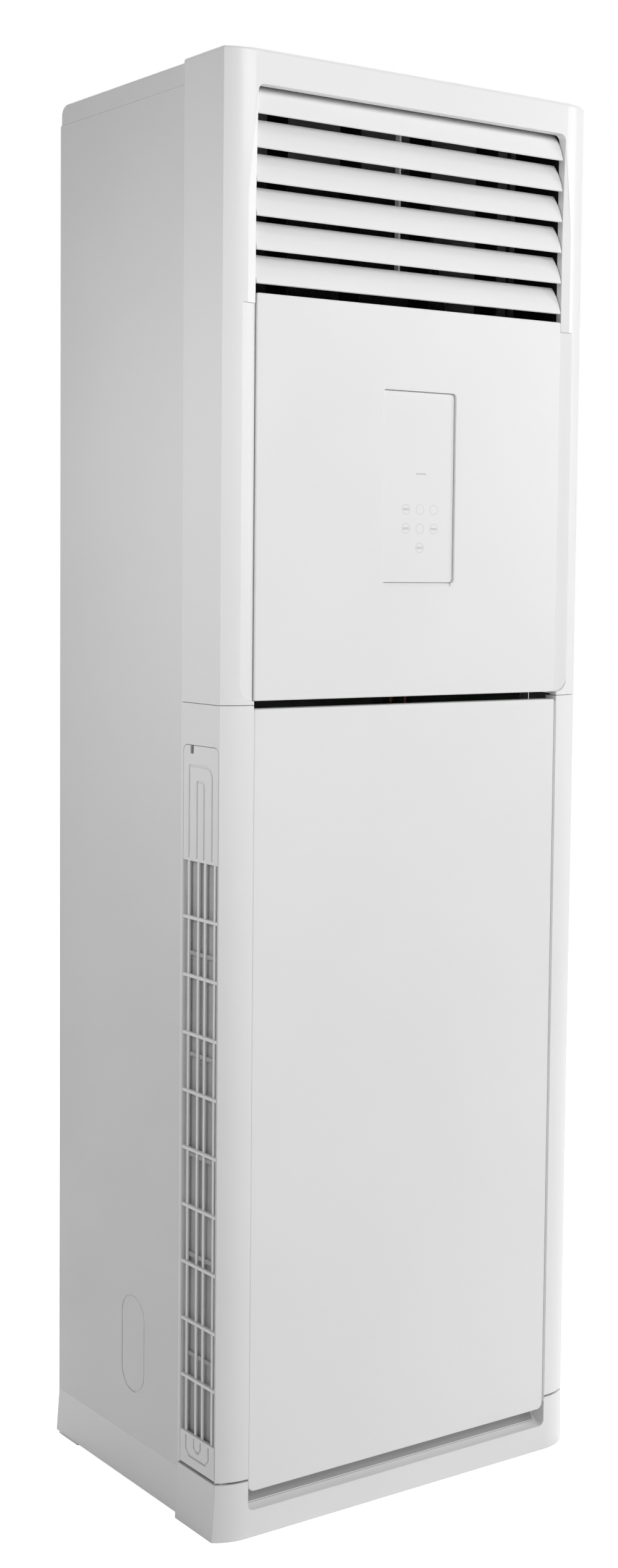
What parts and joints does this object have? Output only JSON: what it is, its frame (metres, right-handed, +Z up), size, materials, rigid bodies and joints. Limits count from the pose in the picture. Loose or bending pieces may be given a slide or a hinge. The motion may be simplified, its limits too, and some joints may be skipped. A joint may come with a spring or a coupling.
{
  "type": "floor standing air conditioner",
  "caption": "Tall floor standing air conditioner with tilting louvers and vanes, a fan wheel, side grilles that tip out and a hinged lower panel.",
  "frame": {"origin": "on the floor, under the middle of the cabinet's footprint", "axes": "+Z upwards along the cabinet's height, +X to the right seen from the front, +Y to the back; the louvers and the loose panel face -Y"},
  "size_m": [0.566, 0.42, 1.8],
  "materials": {
    "white_moulding": "satin moulded plastic, very light grey",
    "white_blade": "satin moulded plastic, very light grey",
    "white_steel": "satin light grey powder coat on sheet steel",
    "clear_lens": "smooth light grey glossy control window",
    "circuit_board": "green circuit board",
    "filter_mesh": "dark grey nylon mesh in a frame",
    "galvanised_steel": "plain galvanised sheet",
    "inner_plastic": "dark grey moulded plastic",
    "fan_plastic": "near black moulded plastic",
    "foam": "white moulded foam",
    "motor_shell": "dark grey painted steel",
    "shaft_steel": "ground steel",
    "fins": "bare aluminium fins",
    "copper": "bare copper tube",
    "nuts": "brass flare nuts",
    "hose": "light grey soft hose",
    "black_rubber": "black soft collar",
    "terminal": "cream moulded plastic",
    "screw_steel": "zinc plated screw heads",
    "step_motor": "light grey can of a small step motor"
  },
  "bodies": {
    "cabinet": {"front_base": "white_moulding", "rear_base": "white_moulding", "left_column": "white_moulding", "right_column": "white_moulding", "upper_front_frame": "white_moulding", "upper_front_panel": "white_moulding", "display_lens": "clear_lens", "display_board": "circuit_board", "left_side_panel": "white_steel", "right_side_panel": "white_steel", "side_pipe_covers": "white_steel", "rear_panel": "white_steel", "rear_pipe_cover": "white_steel", "top_cover": "white_steel", "wall_bracket": "galvanised_steel", "cable_gland": "black_rubber", "casing_screws": "screw_steel", "outlet_duct": "inner_plastic", "louver_motor": "step_motor", "vane_motor": "step_motor", "fan_partition": "galvanised_steel", "mid_shelf": "galvanised_steel", "scroll_front": "inner_plastic", "scroll_back": "inner_plastic", "inlet_ring": "inner_plastic", "fan_motor": "motor_shell", "motor_bracket": "galvanised_steel", "coil_fins": "fins", "coil_end_plates": "galvanised_steel", "coil_tubes": "copper", "drain_pan": "foam", "pan_rails": "galvanised_steel", "drain_hose": "hose", "refrigerant_pipes": "copper", "flare_nuts": "nuts", "front_baffle": "galvanised_steel", "control_box": "galvanised_steel", "control_board": "circuit_board", "terminal_block": "terminal"},
    "lower_panel": {"lower_front_panel": "white_moulding"},
    "left_grille_flap": {"left_grille": "white_moulding", "left_filter": "filter_mesh"},
    "right_grille_flap": {"right_grille": "white_moulding", "right_filter": "filter_mesh"},
    "louver_bar": {"louver_link": "white_blade"},
    "vane_bar": {"vane_link": "inner_plastic"},
    "fan": {"fan_wheel": "fan_plastic", "fan_shaft": "shaft_steel"},
    "blade_1": {"louver_1": "white_blade"},
    "blade_2": {"louver_2": "white_blade"},
    "blade_3": {"louver_3": "white_blade"},
    "blade_4": {"louver_4": "white_blade"},
    "blade_5": {"louver_5": "white_blade"},
    "blade_6": {"louver_6": "white_blade"},
    "upright_1": {"vane_1": "inner_plastic"},
    "upright_2": {"vane_2": "inner_plastic"},
    "upright_3": {"vane_3": "inner_plastic"},
    "upright_4": {"vane_4": "inner_plastic"}
  },
  "joints": [
    {"name": "louver_1_tilt", "type": "hinge", "parent": "cabinet", "child": "blade_1", "pos_m": [0, -0.192, 1.7447], "axis": [-1, 0, 0], "range_deg": [-15, 50]},
    {"name": "louver_2_tilt", "type": "hinge", "parent": "cabinet", "child": "blade_2", "pos_m": [0, -0.192, 1.7051], "axis": [-1, 0, 0], "range_deg": [-15, 50]},
    {"name": "louver_3_tilt", "type": "hinge", "parent": "cabinet", "child": "blade_3", "pos_m": [0, -0.192, 1.6655], "axis": [-1, 0, 0], "range_deg": [-15, 50]},
    {"name": "louver_4_tilt", "type": "hinge", "parent": "cabinet", "child": "blade_4", "pos_m": [0, -0.192, 1.6259], "axis": [-1, 0, 0], "range_deg": [-15, 50]},
    {"name": "louver_5_tilt", "type": "hinge", "parent": "cabinet", "child": "blade_5", "pos_m": [0, -0.192, 1.5863], "axis": [-1, 0, 0], "range_deg": [-15, 50]},
    {"name": "louver_6_tilt", "type": "hinge", "parent": "cabinet", "child": "blade_6", "pos_m": [0, -0.192, 1.5467], "axis": [-1, 0, 0], "range_deg": [-15, 50]},
    {"name": "louver_link_swing", "type": "hinge", "parent": "blade_1", "child": "louver_bar", "pos_m": [0, -0.166, 1.7527], "axis": [-1, 0, 0], "range_deg": [-50, 15]},
    {"name": "vane_1_swing", "type": "hinge", "parent": "cabinet", "child": "upright_1", "pos_m": [-0.165, -0.14, 1.638], "axis": [0, 0, 1], "range_deg": [-35, 35]},
    {"name": "vane_2_swing", "type": "hinge", "parent": "cabinet", "child": "upright_2", "pos_m": [-0.055, -0.14, 1.638], "axis": [0, 0, 1], "range_deg": [-35, 35]},
    {"name": "vane_3_swing", "type": "hinge", "parent": "cabinet", "child": "upright_3", "pos_m": [0.055, -0.14, 1.638], "axis": [0, 0, 1], "range_deg": [-35, 35]},
    {"name": "vane_4_swing", "type": "hinge", "parent": "cabinet", "child": "upright_4", "pos_m": [0.165, -0.14, 1.638], "axis": [0, 0, 1], "range_deg": [-35, 35]},
    {"name": "vane_link_swing", "type": "hinge", "parent": "upright_1", "child": "vane_bar", "pos_m": [-0.165, -0.123, 1.638], "axis": [0, 0, 1], "range_deg": [-35, 35]},
    {"name": "lower_panel_hinge", "type": "hinge", "parent": "cabinet", "child": "lower_panel", "pos_m": [0, -0.195, 1.01], "axis": [-1, 0, 0], "range_deg": [0, 30]},
    {"name": "left_grille_tip", "type": "hinge", "parent": "cabinet", "child": "left_grille_flap", "pos_m": [-0.268, -0.1565, 0.081], "axis": [0, -1, 0], "range_deg": [0, 18]},
    {"name": "right_grille_tip", "type": "hinge", "parent": "cabinet", "child": "right_grille_flap", "pos_m": [0.268, -0.1565, 0.081], "axis": [0, 1, 0], "range_deg": [0, 18]},
    {"name": "fan_spin", "type": "hinge", "parent": "cabinet", "child": "fan", "pos_m": [0, 0.03, 0.43], "axis": [0, -1, 0], "continuous": true}
  ],
  "couplings": [
    {"joint": "louver_2_tilt", "follows": "louver_1_tilt", "ratio": 1},
    {"joint": "louver_3_tilt", "follows": "louver_1_tilt", "ratio": 1},
    {"joint": "louver_4_tilt", "follows": "louver_1_tilt", "ratio": 1},
    {"joint": "louver_5_tilt", "follows": "louver_1_tilt", "ratio": 1},
    {"joint": "louver_6_tilt", "follows": "louver_1_tilt", "ratio": 1},
    {"joint": "louver_link_swing", "follows": "louver_1_tilt", "ratio": -1},
    {"joint": "vane_2_swing", "follows": "vane_1_swing", "ratio": 1},
    {"joint": "vane_3_swing", "follows": "vane_1_swing", "ratio": 1},
    {"joint": "vane_4_swing", "follows": "vane_1_swing", "ratio": 1},
    {"joint": "vane_link_swing", "follows": "vane_1_swing", "ratio": -1}
  ]
}
